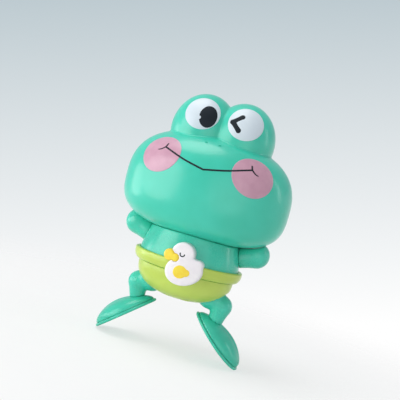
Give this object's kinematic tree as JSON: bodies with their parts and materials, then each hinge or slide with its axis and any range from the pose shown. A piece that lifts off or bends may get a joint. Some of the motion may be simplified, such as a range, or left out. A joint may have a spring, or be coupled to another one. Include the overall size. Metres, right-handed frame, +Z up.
{
  "type": "squeaky clockwork bath toy",
  "caption": "Frog-shaped bath toy with a soft squeaking head, a wind-up motor behind the waistband and two flippered legs that kick, in waist-high swimming trunks.",
  "frame": {"origin": "under the middle of the toy, level with the tips of the flippers", "axes": "+Z up through the head, +X towards the winking eye, the face looks along -Y"},
  "size_m": [0.0844, 0.055, 0.129],
  "materials": {
    "frog_vinyl": "soft satin vinyl",
    "frog_plastic": "satin moulded plastic",
    "flipper_plastic": "satin moulded plastic",
    "trunks_plastic": "satin moulded plastic",
    "knob_plastic": "satin moulded plastic",
    "eye_plastic": "gloss",
    "ink_plastic": "satin",
    "cheek_plastic": "satin",
    "duck_plastic": "gloss",
    "duck_yellow": "gloss",
    "plug_plastic": "fine moulded",
    "motor_plastic": "fine moulded",
    "gear_nylon": "nylon",
    "slider_acetal": "acetal",
    "wheel_brass": "stamped",
    "spring_steel": "blued spring steel",
    "bright_steel": "ground",
    "screw_steel": "zinc plated",
    "reed_bronze": "rolled strip",
    "seal_rubber": "soft"
  },
  "bodies": {
    "torso": {"head_shell": "frog_vinyl", "neck_plug": "plug_plastic", "squeaker_case": "plug_plastic", "squeaker_reed": "reed_bronze", "squeaker_cap": "plug_plastic", "neck_screws": "screw_steel", "eye_white_left": "eye_plastic", "eye_white_right": "eye_plastic", "pupil": "ink_plastic", "wink_mark": "ink_plastic", "cheek_left": "cheek_plastic", "cheek_right": "cheek_plastic", "mouth_line": "ink_plastic", "torso_front": "frog_plastic", "torso_rear": "frog_plastic", "torso_screws": "screw_steel", "arm_left": "frog_plastic", "arm_right": "frog_plastic", "trunks": "trunks_plastic", "trunk_screws": "screw_steel", "duck_badge": "duck_plastic", "duck_bill": "duck_yellow", "duck_wing": "duck_yellow", "duck_eye": "ink_plastic", "motor_case": "motor_plastic", "motor_cover": "motor_plastic", "motor_screws": "screw_steel", "mainspring": "spring_steel", "shaft_seal": "seal_rubber", "hip_pins": "bright_steel"},
    "winding": {"winding_arbor": "bright_steel", "great_wheel": "wheel_brass", "winding_knob": "knob_plastic", "knob_screw": "screw_steel"},
    "crank": {"crank_gear": "gear_nylon"},
    "governor": {"governor_wheel": "gear_nylon"},
    "slider": {"kick_slider": "slider_acetal"},
    "leg_left": {"leg_left": "frog_plastic", "flipper_left": "flipper_plastic", "sole_left": "flipper_plastic"},
    "leg_right": {"leg_right": "frog_plastic", "flipper_right": "flipper_plastic", "sole_right": "flipper_plastic"}
  },
  "joints": [
    {"name": "winding_spin", "type": "hinge", "parent": "torso", "child": "winding", "pos_m": [0, 0, 0.0432], "axis": [0, 1, 0], "continuous": true},
    {"name": "crank_spin", "type": "hinge", "parent": "torso", "child": "crank", "pos_m": [0, 0, 0.0507], "axis": [0, 1, 0], "continuous": true},
    {"name": "governor_spin", "type": "hinge", "parent": "torso", "child": "governor", "pos_m": [0, 0, 0.0357], "axis": [0, 1, 0], "continuous": true},
    {"name": "hip_left", "type": "hinge", "parent": "torso", "child": "leg_left", "pos_m": [-0.0155, 0, 0.0325], "axis": [0, 1, 0], "range_deg": [-21, 11]},
    {"name": "hip_right", "type": "hinge", "parent": "torso", "child": "leg_right", "pos_m": [0.0155, 0, 0.0325], "axis": [0, 1, 0], "range_deg": [-11, 21]},
    {"name": "kick_slide", "type": "slide", "parent": "torso", "child": "slider", "axis": [0, 0, 1], "range_m": [-0.0016, 0.00305]}
  ],
  "couplings": [
    {"joint": "crank_spin", "follows": "winding_spin", "ratio": -2.75},
    {"joint": "governor_spin", "follows": "winding_spin", "ratio": -2.75},
    {"joint": "hip_right", "follows": "hip_left", "ratio": -1},
    {"joint": "kick_slide", "follows": "hip_left", "m_per_rad": -0.0083}
  ]
}
